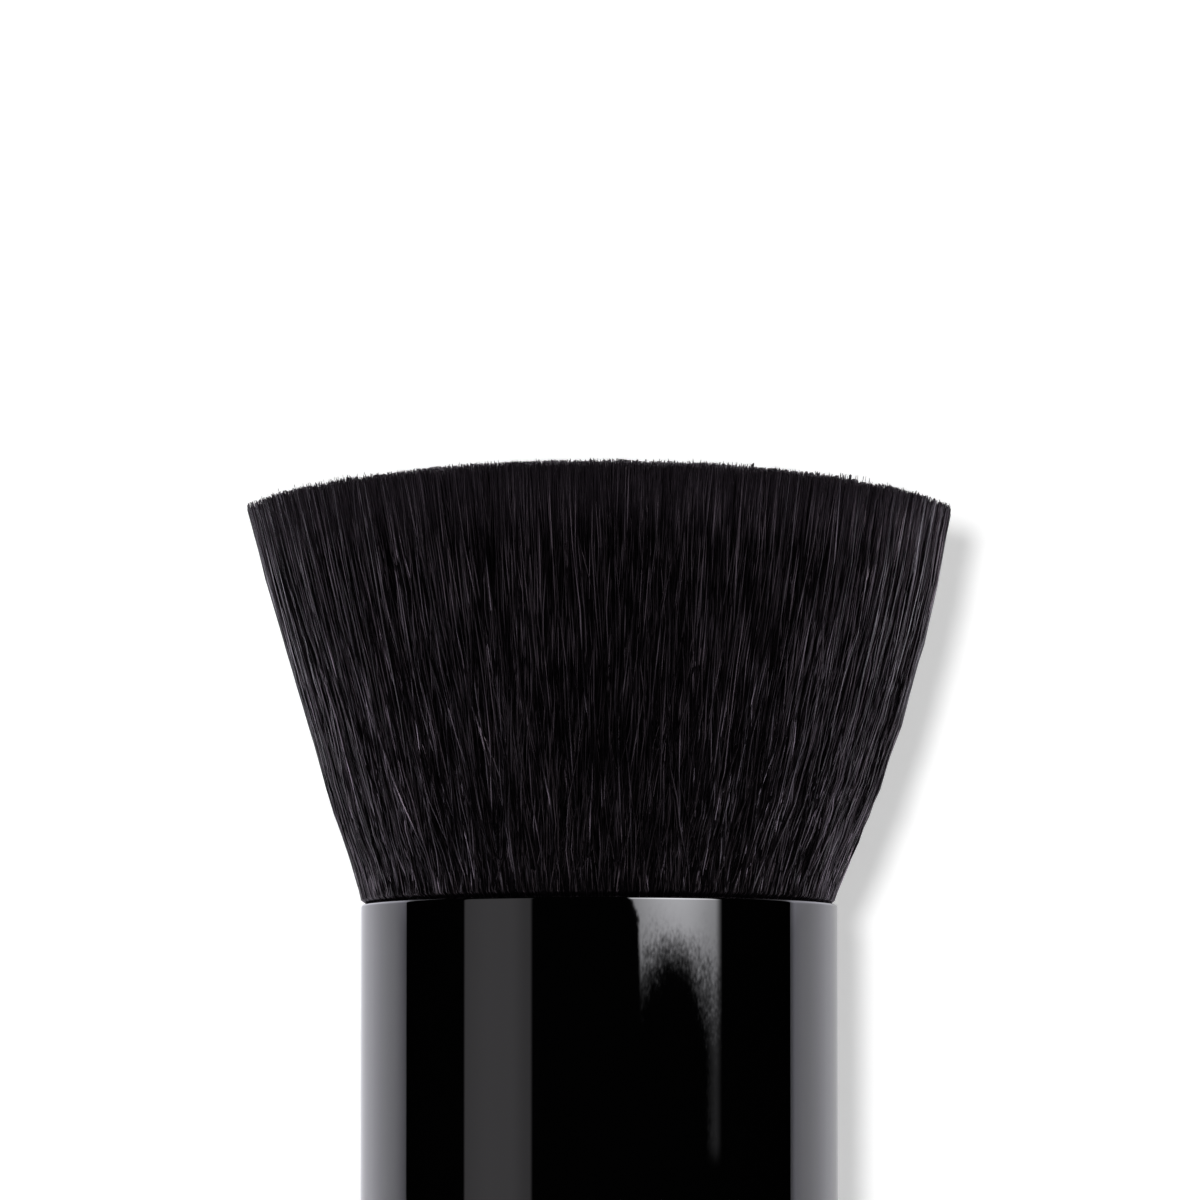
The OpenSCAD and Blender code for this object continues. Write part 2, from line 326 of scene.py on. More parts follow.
def make_object(name, points, *faces, marks=None, places=None, smooth=None):
    """A smooth-shaded mesh object from points and arrays of faces, with named numbers and map places for
    each point."""
    mesh = bpy.data.meshes.new(name)
    sizes = np.concatenate([np.full(len(f), f.shape[1]) for f in faces])
    loops = np.concatenate([f.ravel() for f in faces]).astype(np.int32)
    mesh.vertices.add(len(points))
    mesh.vertices.foreach_set("co", np.asarray(points, np.float32).ravel())
    mesh.loops.add(len(loops))
    mesh.loops.foreach_set("vertex_index", loops)
    mesh.polygons.add(len(sizes))
    mesh.polygons.foreach_set("loop_start", np.concatenate([[0], np.cumsum(sizes)[:-1]]).astype(np.int32))
    mesh.polygons.foreach_set("use_smooth", np.ones(len(sizes), bool) if smooth is None else smooth)
    mesh.update(calc_edges=True)
    for mark, numbers in (marks or {}).items():
        mesh.attributes.new(mark, "FLOAT", "POINT").data.foreach_set("value", numbers.astype(np.float32))
    if places is not None:
        layer = mesh.uv_layers.new(name="OFBake")
        layer.uv.foreach_set("vector", places[loops].astype(np.float32).ravel())
    thing = bpy.data.objects.new(name, mesh)
    bpy.context.scene.collection.objects.link(thing)
    return thing


def make_piece(name, slot, replaces, material, points, *faces, **more):
    """A visible piece of the brush, which rides on its body and stands for a node of the frame."""
    piece = make_object(name, points, *faces, **more)
    piece.data.materials.append(material)
    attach(piece, BODY)
    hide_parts(replaces)


# Bristles

def ease(x, start, end):
    """0 before start, 1 after end, and a smooth cubic between them."""
    t = np.clip((x - start) / (end - start), 0, 1)
    return t * t * (3 - 2 * t)


class Head:
    """The law that all bristles follow, worked out from the settings and the frame."""

    def __init__(self, settings):
        self.s = settings
        self.edge_h = TIP_Z - RIM_Z - settings.dome_h
        self.rim_r = CUP_R - settings.bristle_d / 2
        self.ripple = np.random.default_rng(SEED).uniform(0, 2 * pi, 12)

    def outline(self, height, turn):
        """Radius of the head at a height above the rim: a straight flare, a parabola that bows it out,
        more where cos(turn) is positive, a swell in the lower half and a spill just above the rim."""
        t = height / self.edge_h
        bow = self.s.bow + self.s.bow_right * np.cos(turn)
        swell = (self.s.swell - self.s.swell_left * np.cos(turn)) * (1 - ease(t, 0.2, 0.5))
        spill = self.s.spill * (1 - ease(t, 0.02, 0.08))
        flare = self.rim_r + (HEAD_R - self.rim_r) * t + 4 * bow * t * (1 - t)
        return flare + (swell + spill) * ease(t, 0, 0.014)

    def cut(self, share, turn):
        """Height of the cut above the rim at a share of the head's radius: the dome falls by share ** 2.6,
        and towards its edge it rises again by share ** 4 where sin(turn) is far from 0."""
        rise = self.s.front_rise * share**4 * np.sin(turn) ** 2
        return self.edge_h + self.s.dome_h * (1 - share**2.6) + rise

    def ripples(self, turn, first, size):
        """Soft unevenness round the head: a sum of sine waves, each with a fixed random phase."""
        waves = [np.sin((first + 7 * k) * turn + phase) for k, phase in enumerate(self.ripple)]
        return size * sum(waves) / len(waves) ** 0.5

    def places(self, share, turn, height):
        """Points at a share of the head's radius, a turn round the axis and a height above the rim."""
        r = share * self.outline(height, turn)
        return np.stack([r * np.cos(turn), r * np.sin(turn), RIM_Z + height], -1)


def waves(along, length, slope, rng):
    """Sideways wander of many bristles: three sine waves, each longer one taller, so that every wave is as
    steep as the slope. The shortest fades out towards the tip."""
    total = 0
    for low, high, steep in ((0.4, 1.0, 0.8), (1.5, 3.0, 1.0), (3.5, 5.5, 1.1)):
        count = rng.uniform(low, high, (len(length), 1))
        phase = rng.uniform(0, 2 * pi, (len(length), 1))
        size = slope * steep * length * rng.lognormal(-0.1, 0.45, (len(length), 1)) / (2 * pi * count)
        fade = 1 if low < 3 else (1 - along) ** 1.5
        total = total + size * fade * np.sin(2 * pi * count * along + phase)
    return total


def side_bristles(head, count, rng):
    """Paths of the outer layer. Each bristle keeps its share of the head's radius while the outline flares,
    wanders sideways and in and out in waves that calm down towards the tip, and draws in to its tuft. Locks
    of neighbours lean together and swing out and in by a sine of their height. Some bristles lean far more
    and cross the others, and some leave the rim beside their place and then settle."""
    s = head.s
    along = np.array(SIDE_STEPS)[None]
    turn = rng.uniform(0, 2 * pi, (count, 1))
    share = 1 - s.layer * rng.uniform(0, 1, (count, 1)) ** 1.6
    tuft_turn = s.tuft / HEAD_R
    tuft = np.floor(turn / tuft_turn + 3 * share / s.layer)
    tuft_rng = np.random.default_rng(SEED + 1)
    kinds = int(2 * pi / tuft_turn) + 64
    shift, taller = tuft_rng.uniform(-0.3, 0.3, kinds), tuft_rng.normal(0, 1, kinds)
    kind = tuft.astype(int) % kinds
    centre = (tuft + 0.5 - 3 * share / s.layer + shift[kind]) * tuft_turn
    longer = rng.normal(0, 1, (count, 1))
    longer = np.where(longer < 0, 3.5 * longer, np.minimum(longer, 0.8))
    reach = head.cut(share, turn) + s.ragged * longer + s.tuft_ragged * taller[kind]
    reach = reach + head.ripples(turn, 9, 0.04 * MM)
    length = reach - SIDE_ROOT
    height = SIDE_ROOT + length * along
    steady = ease(height, 0, 4 * MM)
    calm = steady * (1 - 0.7 * along)
    wander = waves(along, length, s.wave, rng) * calm
    weave = waves(along, length, s.wave, rng) * calm / (0.8 * HEAD_R)
    lock_turn = s.lock / HEAD_R
    mixed = turn + rng.normal(0, 0.2, (count, 1)) * lock_turn
    lock = np.floor(mixed / lock_turn).astype(int) % kinds
    lock_lean = tuft_rng.normal(0, 0.55 * MM, kinds)[lock]
    lock_out = tuft_rng.normal(0, 0.004, kinds)[lock]
    crossing_share, crossing_lean, usual_lean = 0.18, 2.4 * MM, 0.5 * MM
    crossing = rng.uniform(0, 1, (count, 1)) < crossing_share
    lean = rng.normal(0, 1, (count, 1)) * np.where(crossing, crossing_lean, usual_lean)
    settled = rng.uniform(0.35, 1.3, (count, 1))
    sway = (lean * ease(along, -0.1, settled) + lock_lean * along) * steady
    sway = sway + head.ripples(turn, 17, 0.12 * MM) * along
    strayed_share, far, near = 0.35, 1.3 * MM, 0.3 * MM
    strayed = rng.normal(0, 1, (count, 1))
    strayed = strayed * np.where(rng.uniform(0, 1, (count, 1)) < strayed_share, far, near)
    sway = sway + strayed * (1 - ease(along, 0.04, rng.uniform(0.35, 0.7, (count, 1))))
    near_tip = ease(along, 0.5, 1.0)
    shares = share + weave
    shares = np.where(shares > 1, 1 + 0.15 * (shares - 1), shares) + (lock_out - 0.006) * calm
    phase = tuft_rng.uniform(0, 2 * pi, kinds)[lock]
    crimp = s.crimp / HEAD_R * (1 + 0.5 * np.cos(turn)) * np.sin(2 * pi * height / s.crimp_length + phase)
    shares = shares + crimp * steady * (1 - along)
    pull = np.where(crossing, 0.5, 1) * s.gather * near_tip * (centre - turn)
    return head.places(shares, turn + (wander + sway) / HEAD_R + pull, height), along


def crown_bristles(head, count, rng):
    """Ends of the bristles inside the outer layer, which make the crown. They stand on a sunflower spiral,
    radius by the square root of the number, and draw together in tufts on a warped grid."""
    s = head.s
    along = np.array(CROWN_STEPS)[None]
    number = np.arange(count)[:, None] + 0.5
    share = (1 - 1.05 * s.layer) * np.sqrt(number / count)
    turn = number * pi * (3 - 5**0.5)
    scatter = 0.0022
    x = share * np.cos(turn) + rng.normal(0, scatter, (count, 1))
    y = share * np.sin(turn) + rng.normal(0, scatter, (count, 1))
    cell = 1.5 * s.tuft / HEAD_R
    warp_x = 0.7 * cell * np.sin(5.1 * y / cell / 3 + 2.3 * x / cell / 5)
    warp_y = 0.7 * cell * np.sin(4.3 * x / cell / 3 - 1.9 * y / cell / 4)
    i, j = np.floor((x + warp_x) / cell), np.floor((y + warp_y) / cell)
    kinds = 997
    kind = (i * 73 + j * 179).astype(int) % kinds
    tuft_rng = np.random.default_rng(SEED + 2)
    shift = tuft_rng.uniform(0.25, 0.75, (2, kinds))
    taller = tuft_rng.normal(0, 1, kinds)
    to_x = (i + shift[0][kind]) * cell - warp_x - x
    to_y = (j + shift[1][kind]) * cell - warp_y - y
    pull = s.gather * ease(along, 0.1, 1.0)
    lean = rng.normal(0, 0.006, (2, count, 1)) * along
    xs, ys = x + pull * to_x + lean[0], y + pull * to_y + lean[1]
    shares, turns = np.hypot(xs, ys), np.arctan2(ys, xs)
    reach = head.cut(np.hypot(x, y), turn) - 5 * s.ragged * abs(rng.normal(0, 1, (count, 1)))
    reach = reach + 0.8 * s.tuft_ragged * taller[kind]
    height = reach - CROWN_LENGTH * (1 - along)
    whole = head.edge_h - SIDE_ROOT
    paths = head.places(np.minimum(shares, 1 - s.layer), turns, height)
    return paths, 1 - (1 - along) * CROWN_LENGTH / whole


def stray_bristles(head, count, rng):
    """Bristles that lie across the outside: each keeps close to the surface, leans more than the rest and
    bends along one sine wave. Some are short and curl."""
    along = np.linspace(0, 1, 12)[None]
    turn = rng.uniform(0, 2 * pi, (count, 1))
    low = rng.uniform(0.0, 0.55, (count, 1)) * head.edge_h
    high = low + rng.uniform(0.25, 0.75, (count, 1)) * head.edge_h
    high = np.minimum(high, head.edge_h - 0.2 * MM)
    height = low + (high - low) * along
    lean = rng.normal(0, 0.16, (count, 1)) * (height - low)
    bend = rng.normal(0, 0.5 * MM, (count, 1)) * np.sin(pi * along * rng.uniform(0.8, 1.8, (count, 1)))
    lift = rng.uniform(0.0, 0.004, (count, 1)) * np.sin(pi * np.clip(along * 1.1, 0, 1)) ** 2
    steady = ease(height, 0, 3 * MM)
    turns = turn + (lean + bend * steady) / HEAD_R
    return head.places(0.987 + lift * steady, turns, height), along


def bristle_marks(along, count, rings, sides, rng):
    """For each point of each bristle: its own tint, and how far along it the point is."""
    tint = np.repeat(rng.uniform(0, 1, count) ** 1.6, rings * sides)
    return {"tint": tint, "along": np.tile(np.repeat(along[0], sides), count)}


def bristle_places(points, head):
    """Map places: for the outside, the turn round the axis and the height."""
    turn = np.arctan2(points[:, 1], points[:, 0]) / (2 * pi) + 0.5
    height = (points[:, 2] - RIM_Z) / (TIP_Z - RIM_Z)
    return np.stack([turn, np.clip(height, 0, 1)], 1)


def make_bristles(name, paths, along, radius, rng, material, head, parts=1):
    """Turns paths into pieces of closed three-sided tubes that thin towards their tips, one piece for each
    sector of the head."""
    sides = 3
    middle = np.arctan2(paths[:, -1, 1], paths[:, -1, 0])
    sector = np.minimum(((middle + pi) / (2 * pi) * parts).astype(int), parts - 1)
    width = radius * (1 - 0.5 * ease(along, 0.9, 1.0)) * rng.uniform(0.8, 1.15, (len(paths), 1))
    rolls = rng.uniform(0, 2 * pi, len(paths))
    for part in range(parts):
        own = sector == part
        points, faces, smooth = tubes(paths[own], width[own], rolls[own], sides)
        marks = bristle_marks(along, own.sum(), paths.shape[1], sides, rng)
        title = f"{name}_{part + 1}" if parts > 1 else name
        make_piece(
            title, "bristles", "bristle_bundle", material, points, faces,
            marks=marks, places=bristle_places(points, head), smooth=smooth,
        )


# Finishes

def empty_tree(thing):
    """The node tree of a new material or world, with nothing in it."""
    thing.use_nodes = True
    thing.node_tree.nodes.clear()
    return thing.node_tree


def new_material(name):
    """An empty node material with a Principled shader. Returns the material, its tree and the shader."""
    material = bpy.data.materials.new(name)
    tree = empty_tree(material)
    shader = tree.nodes.new("ShaderNodeBsdfPrincipled")
    output = tree.nodes.new("ShaderNodeOutputMaterial")
    tree.links.new(shader.outputs["BSDF"], output.inputs["Surface"])
    return material, tree, shader


def feed(tree, socket, value):
    """Links the value to the socket if it comes from another node, and sets it there otherwise."""
    if isinstance(value, bpy.types.NodeSocket):
        tree.links.new(value, socket)
    else:
        socket.default_value = value


def add(tree, kind, **values):
    """Adds a node. Each value goes to the input of that name, with _ for a space, or to the node's own
    setting."""
    node = tree.nodes.new("ShaderNode" + kind)
    for name, value in values.items():
        socket = node.inputs.get(name.replace("_", " "))
        if socket is None:
            setattr(node, name, value)
        else:
            feed(tree, socket, value)
    return node


def set_shader(tree, shader, **values):
    """Sets or links the shader's inputs, with _ for a space in a name."""
    for name, value in values.items():
        feed(tree, shader.inputs[name.replace("_", " ")], value)


def two_colours(tree, mask, low, high):
    """A colour that goes from low to high with the mask. Either may come from another node."""
    mix = add(tree, "Mix", data_type="RGBA")
    tree.links.new(mask, mix.inputs["Factor"])
    colours = [socket for socket in mix.inputs if socket.type == "RGBA"]
    for socket, colour in zip(colours, (low, high)):
        feed(tree, socket, colour if isinstance(colour, bpy.types.NodeSocket) else (*colour, 1))
    return next(socket for socket in mix.outputs if socket.type == "RGBA")


def between(tree, mask, low, high):
    """A number that goes from low to high as the mask goes from 0 to 1."""
    return add(tree, "MapRange", Value=mask, To_Min=low, To_Max=high).outputs["Result"]


def times(tree, first, second):
    """The product of two numbers, each from another node or given."""
    node = add(tree, "Math", operation="MULTIPLY")
    feed(tree, node.inputs[0], first)
    feed(tree, node.inputs[1], second)
    return node.outputs[0]


def ramp(tree, value, start, end, low, high, clamp=True):
    """A number that goes from low to high as the value goes from start to end."""
    node = add(
        tree, "MapRange", Value=value, From_Min=start, From_Max=end, To_Min=low, To_Max=high, clamp=clamp
    )
    return node.outputs["Result"]


def new_group(name, inputs):
    """A node group with number inputs, each with a default, and the outputs Mask and Normal."""
    group = bpy.data.node_groups.new(name, "ShaderNodeTree")
    for title, value in inputs.items():
        socket = group.interface.new_socket(title, in_out="INPUT", socket_type="NodeSocketFloat")
        socket.default_value = value
    group.interface.new_socket("Mask", in_out="OUTPUT", socket_type="NodeSocketFloat")
    group.interface.new_socket("Normal", in_out="OUTPUT", socket_type="NodeSocketVector")
    return group, group.nodes.new("NodeGroupInput")


def close_group(group, given, noise):
    """Gives the group's scale to its noise, and sends the noise out as the mask and as a bump of the group's
    height."""
    group.links.new(given.outputs["Scale"], noise.inputs["Scale"])
    bump = add(group, "Bump", Height=noise.outputs["Fac"], Strength=1.0)
    group.links.new(given.outputs["Height"], bump.inputs["Distance"])
    output = group.nodes.new("NodeGroupOutput")
    group.links.new(noise.outputs["Fac"], output.inputs["Mask"])
    group.links.new(bump.outputs["Normal"], output.inputs["Normal"])
    return group


def grain_group():
    """Even grain: noise of a given scale, as a mask and as a bump of a given height."""
    group, given = new_group("surface_grain", {"Scale": 2000.0, "Height": 0.01 * MM, "Detail": 3.0})
    where = add(group, "TexCoord").outputs["Object"]
    noise = add(group, "TexNoise", Vector=where, Roughness=0.6)
    group.links.new(given.outputs["Detail"], noise.inputs["Detail"])
    return close_group(group, given, noise)


def lines_group():
    """Lines left by drawing or turning: noise that is stretched across the axis and fine along it."""
    group, given = new_group("turned_lines", {"Scale": 3000.0, "Height": 0.002 * MM, "Stretch": 0.02})
    where = add(group, "TexCoord").outputs["Object"]
    parts = add(group, "SeparateXYZ", Vector=where)
    wide = [add(group, "Math", operation="MULTIPLY") for _ in range(2)]
    for node, axis in zip(wide, "XY"):
        group.links.new(parts.outputs[axis], node.inputs[0])
        group.links.new(given.outputs["Stretch"], node.inputs[1])
    joined = add(group, "CombineXYZ", X=wide[0].outputs[0], Y=wide[1].outputs[0], Z=parts.outputs["Z"])
    noise = add(group, "TexNoise", Vector=joined.outputs[0], Detail=2.0, Roughness=0.5)
    return close_group(group, given, noise)


def effect(tree, name, **values):
    """Places a shared effect, built the first time it is asked for, with its own values."""
    make = {"surface_grain": grain_group, "turned_lines": lines_group}[name]
    node = tree.nodes.new("ShaderNodeGroup")
    node.node_tree = bpy.data.node_groups.get(name) or make()
    for title, value in values.items():
        node.inputs[title].default_value = value
    return node


def bristle_finish(settings, name, tip_colour, tip_shine):
    """Fine synthetic filament: every bristle has its own tint, is darker at its root and paler at its tip,
    and shines in stretches, where its surface is cleanest. For the crown the tip colour is painted light,
    far paler than the bristles' own."""
    material, tree, shader = new_material(name)
    tint = add(tree, "Attribute", attribute_name="tint").outputs["Fac"]
    along = add(tree, "Attribute", attribute_name="along").outputs["Fac"]
    paleness = times(tree, tint, between(tree, along, 0.75, 1.0))
    body = two_colours(tree, paleness, settings.deep_colour, settings.pale_colour)
    tip = times(tree, ramp(tree, along, 0.84, 0.95, 0, 1), between(tree, tint, 0.75, 1.0))
    colour = two_colours(tree, tip, body, tip_colour)
    where = add(tree, "CombineXYZ", X=times(tree, tint, 700.0), Y=along).outputs[0]
    noise = add(tree, "TexNoise", Vector=where, Scale=6.0, Detail=1.0, Roughness=0.5).outputs["Fac"]
    glint = times(tree, ramp(tree, noise, 0.45, 0.66, 0, 1), between(tree, tint, 0.17, 1.0))
    near_root = times(
        tree, ramp(tree, along, 0.1, 0.4, 1.25, 1), ramp(tree, along, 0.3, 0.85, 0.76, 1)
    )
    near_tip = ramp(tree, along, 0.9, 1, 1, tip_shine)
    softer = times(tree, glint, times(tree, near_root, near_tip))
    facing = add(tree, "LayerWeight", Blend=0.5).outputs["Facing"]
    shine = add(tree, "Math", operation="MAXIMUM")
    tree.links.new(ramp(tree, softer, 0, 1, 0.015, 0.96, clamp=False), shine.inputs[0])
    tree.links.new(ramp(tree, facing, 0.7, 1, 0, 0.6), shine.inputs[1])
    shader.inputs["Specular IOR Level"].default_value = 0.2
    rough = between(tree, tint, 0.30, 0.18)
    set_shader(
        tree, shader, Base_Color=colour, Roughness=rough, IOR=1.7, Specular_IOR_Level=shine.outputs[0],
        Specular_Tint=(1.0, 0.81, 0.92, 1.0),
    )
    return material


def outer_finish(settings):
    """The finish of all bristles that show from the side, with tips that shine less than the rest."""
    return bpy.data.materials.get("bristle") or bristle_finish(settings, "bristle", settings.tip_colour, 0.4)


def heart_finish(settings):
    """The shaded mass of bristles deep in the head."""
    material, tree, shader = new_material("bristle_heart")
    grain = effect(tree, "surface_grain", Scale=3500.0, Height=0.15 * MM)
    dark = tuple(0.5 * c for c in settings.deep_colour)
    colour = two_colours(tree, grain.outputs["Mask"], dark, settings.deep_colour)
    set_shader(tree, shader, Base_Color=colour, Roughness=0.8, Normal=grain.outputs["Normal"])
    return material


def lacquer_finish(settings):
    """High-gloss black lacquer with a trace of orange peel and of wiping."""
    material, tree, shader = new_material("black_lacquer")
    peel = effect(tree, "surface_grain", Scale=420.0, Height=0.0004 * MM, Detail=1.0)
    wiping = effect(tree, "turned_lines", Scale=160.0, Stretch=0.4)
    haze = tuple(1.6 * c for c in settings.lacquer_colour)
    colour = two_colours(tree, wiping.outputs["Mask"], settings.lacquer_colour, haze)
    rough = between(tree, wiping.outputs["Mask"], 0.008, 0.02)
    set_shader(tree, shader, Base_Color=colour, Roughness=rough, IOR=1.56, Normal=peel.outputs["Normal"])
    return material


def plastic_finish(name, colour, paler, grain_scale, grain_height, rough):
    """Moulded plastic: a slightly uneven colour and shine, and an even grain."""
    material, tree, shader = new_material(name)
    grain = effect(tree, "surface_grain", Scale=grain_scale, Height=grain_height)
    mixed = two_colours(tree, grain.outputs["Mask"], colour, tuple(paler * c for c in colour))
    shine = between(tree, grain.outputs["Mask"], rough[0], rough[1])
    set_shader(tree, shader, Base_Color=mixed, Roughness=shine, IOR=1.53, Normal=grain.outputs["Normal"])
    return material


def metal_finish(name, colour, darker, line_scale, line_height, rough):
    """Bare metal with the lines of its drawing or turning."""
    material, tree, shader = new_material(name)
    lines = effect(tree, "turned_lines", Scale=line_scale, Height=line_height)
    mixed = two_colours(tree, lines.outputs["Mask"], tuple(darker * c for c in colour), colour)
    shine = between(tree, lines.outputs["Mask"], rough[0], rough[1])
    set_shader(
        tree, shader, Base_Color=mixed, Metallic=1.0, Roughness=shine, Normal=lines.outputs["Normal"]
    )
    return material


def resin_finish():
    """Amber epoxy, cloudy with fine bubbles."""
    material, tree, shader = new_material("cured_resin")
    bubbles = effect(tree, "surface_grain", Scale=1500.0, Height=0.01 * MM, Detail=1.0)
    colour = two_colours(tree, bubbles.outputs["Mask"], (0.30, 0.16, 0.05), (0.55, 0.36, 0.14))
    shine = between(tree, bubbles.outputs["Mask"], 0.08, 0.25)
    set_shader(
        tree, shader, Base_Color=colour, Roughness=shine, IOR=1.55, Normal=bubbles.outputs["Normal"]
    )
    return material


def thread_finish():
    """Twisted polyester thread: slanting bands round the axis, with a painted highlight, a paler colour, on
    top of each yarn.
    """
    material, tree, shader = new_material("binding_thread")
    where = add(tree, "TexCoord").outputs["Object"]
    slant = add(tree, "Mapping", Vector=where, Rotation=(0.6, 0.4, 0.0))
    yarn = add(tree, "TexWave", Vector=slant.outputs["Vector"], Scale=1400.0, Distortion=1.5, Detail=2.0)
    # Painted highlight: the colour is paler where each yarn's bump is highest
    colour = two_colours(tree, yarn.outputs["Fac"], (0.42, 0.37, 0.28), (0.68, 0.62, 0.50))
    bump = add(tree, "Bump", Height=yarn.outputs["Fac"], Distance=0.03 * MM)
    set_shader(tree, shader, Base_Color=colour, Roughness=0.75, Normal=bump.outputs["Normal"])
    return material


def dress(node, material):
    """Gives a node of the frame its finish."""
    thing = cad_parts[node]
    thing.data.materials.clear()
    thing.data.materials.append(material)


# Studio

def light_material(name, colour):
    """A surface that only gives light, as strong as its mark "glow" says at each point."""
    material = bpy.data.materials.new(name)
    tree = empty_tree(material)
    glow = add(tree, "Attribute", attribute_name="glow").outputs["Fac"]
    light = add(tree, "Emission", Color=(*colour, 1), Strength=glow)
    tree.links.new(light.outputs[0], add(tree, "OutputMaterial").inputs["Surface"])
    return material


def sheet_material(name, albedo, glow):
    """A matt white sheet that is seen from its front only. To the camera and through glass it also glows,
    so that it reads as white without more light on the brush, and still takes a shadow. In reflections it
    glows as strongly as its mark "mirrored" says at each point."""
    material = bpy.data.materials.new(name)
    tree = empty_tree(material)
    paths = add(tree, "LightPath").outputs
    seen = add(tree, "Math", operation="MAXIMUM")
    tree.links.new(paths["Is Camera Ray"], seen.inputs[0])
    tree.links.new(paths["Is Transmission Ray"], seen.inputs[1])
    mark = add(tree, "Attribute", attribute_name="mirrored").outputs["Fac"]
    mirrored = times(tree, paths["Is Glossy Ray"], mark)
    strength = add(tree, "Math", operation="MULTIPLY_ADD")
    tree.links.new(seen.outputs[0], strength.inputs[0])
    strength.inputs[1].default_value = glow
    tree.links.new(mirrored, strength.inputs[2])
    white = add(tree, "BsdfDiffuse", Color=(*albedo, 1))
    cool = two_colours(tree, paths["Is Glossy Ray"], (1.0, 1.0, 1.0), (0.87, 0.86, 1.0))
    light = add(tree, "Emission", Color=cool, Strength=strength.outputs[0])
    both = add(tree, "AddShader")
    tree.links.new(white.outputs[0], both.inputs[0])
    tree.links.new(light.outputs[0], both.inputs[1])
    front = add(tree, "MixShader", Fac=add(tree, "NewGeometry").outputs["Backfacing"])
    tree.links.new(both.outputs[0], front.inputs[1])
    tree.links.new(add(tree, "BsdfTransparent").outputs[0], front.inputs[2])
    tree.links.new(front.outputs[0], add(tree, "OutputMaterial").inputs["Surface"])
    return material


def reflection_card(name, turns, heights, glow, material):
    """A sheet bent round the axis: x = R sin(turn), y = -R cos(turn), with a glow at each point. Only the
    brush's gloss sees it."""
    turn, height = np.meshgrid(turns, heights, indexing="ij")
    points = np.stack([CARD_REACH * np.sin(turn), -CARD_REACH * np.cos(turn), height], 2).reshape(-1, 3)
    faces = grid_faces(len(turns), len(heights))
    card = make_object(name, points, faces, marks={"glow": glow(turn, height).ravel()})
    card.data.materials.append(material)
    card.visible_camera = card.visible_diffuse = card.visible_shadow = False


def smooth_noise(shape, passes, seed):
    """White noise, averaged over neighbours in that many passes along each axis, with a spread of 1."""
    noise = np.random.default_rng(seed).normal(0, 1, shape)
    for axis, rounds in enumerate(passes):
        for _ in range(rounds):
            noise = (noise + np.roll(noise, 1, axis) + np.roll(noise, -1, axis)) / 3
    return noise / noise.std()


def left_glow(turn, height):
    """A strip light with soft edges, a little dimmer towards both sides."""
    degrees = np.degrees(turn)
    dim_left, dim_right = 1 - ease(degrees, -70, -52), ease(degrees, -42.5, -33.5)
    left_edge, right_edge = ease(degrees, -67.4, -65.9), 1 - ease(degrees, -33.1, -31.1)
    return (0.79 - 0.16 * dim_left - 0.2 * dim_right) * left_edge * right_edge


def right_glow(turn, height):
    """A bright strip light that is dark below a frayed arch, and has a dim sliver down its right side.
    Across the arch the light falls as 1 / (1 + exp(depth / softness)). Its left edge leans out towards the
    top. Widths are in degrees and heights in millimetres."""
    degrees, up = np.degrees(turn), height / MM
    fray = smooth_noise(turn.shape, (4, 1), SEED + 3)
    arch_middle, arch_top, level, level_middle, level_spread = 31.5, 59.2, 7.3, 36, 26
    side = degrees - arch_middle
    arch = arch_top - np.where(side < 0, 0.0145, 0.0060) * side**2
    softness = 0.85 + np.where(side < 0, -0.05 * side, 1.5 * ease(side, 8, 24))
    softness = softness * np.where(up > arch, 1 - 0.35 * ease(side, 0, 18), 1)
    depth = (arch - up) / softness + 0.6 * fray
    across = level * np.exp(-((degrees - level_middle) / level_spread) ** 2)
    top = across * (1 + 0.12 * ease(up, 61, 65) + 1.2 * ease(up, 68, 80))
    bright = top * np.maximum(1 / (1 + np.exp(np.clip(depth, -30, 30))) - 0.012, 0)
    sliver = 0.3 * ease(degrees + 0.5 * fray, 51, 57.5) * ease(up, 34.3, 37.5)
    left = 18.4 + 0.7 * (1 - ease(up, 52, 61)) - 4.1 * ease(up, 61.2, 64.2)
    left_edge = ease(degrees + 0.2 * fray, left - 0.7, left + 0.9)
    right_edge = 1 - ease(degrees, 55.9, 60.4)
    return (bright + sliver) * (left_edge * right_edge)


def make_sheet(name, low, high, across, mirrored, rows, material):
    """A flat stage sheet from its lower line to its upper line. Its strength in reflections is given at
    places across it, which are shares of its width, and is multiplied by a factor for each share of its
    height."""
    across, rows, low, high = np.asarray(across), np.asarray(rows), np.array(low), np.array(high)
    side, up = across[None, :, None], rows[:, 0, None, None]
    lower, upper = low[0] * (1 - side) + low[1] * side, high[0] * (1 - side) + high[1] * side
    points = (lower * (1 - up) + upper * up).reshape(-1, 3)
    strength = rows[:, 1, None] * np.asarray(mirrored)[None]
    sheet = make_object(
        name, points, grid_faces(len(rows), len(across)), marks={"mirrored": strength.ravel()}
    )
    sheet.data.materials.append(material)
    sheet.visible_shadow = False


def make_floor(material):
    """The floor, lighter in reflections behind the brush and to both sides than near its axis."""
    reach, floor_z = 3.0, -0.05 * MM
    across = np.array([-3000, -280, -210, -115, -75, 90, 130, 210, 280, 3000])
    mirrored = [0.3, 0.3, 2.2, 2.2, 0.05, 0.05, 2.0, 2.0, 0.3, 0.3]
    deep, strength = np.array([-3000, -80, -30, 20, 3000]), [0.38, 0.38, 0.8, 2.9, 2.9]
    make_sheet(
        "floor", [(-reach, -reach, floor_z), (reach, -reach, floor_z)],
        [(-reach, reach, floor_z), (reach, reach, floor_z)], (across / 1000 + reach) / (2 * reach),
        mirrored, np.stack([(deep / 1000 + reach) / (2 * reach), strength], 1), material,
    )


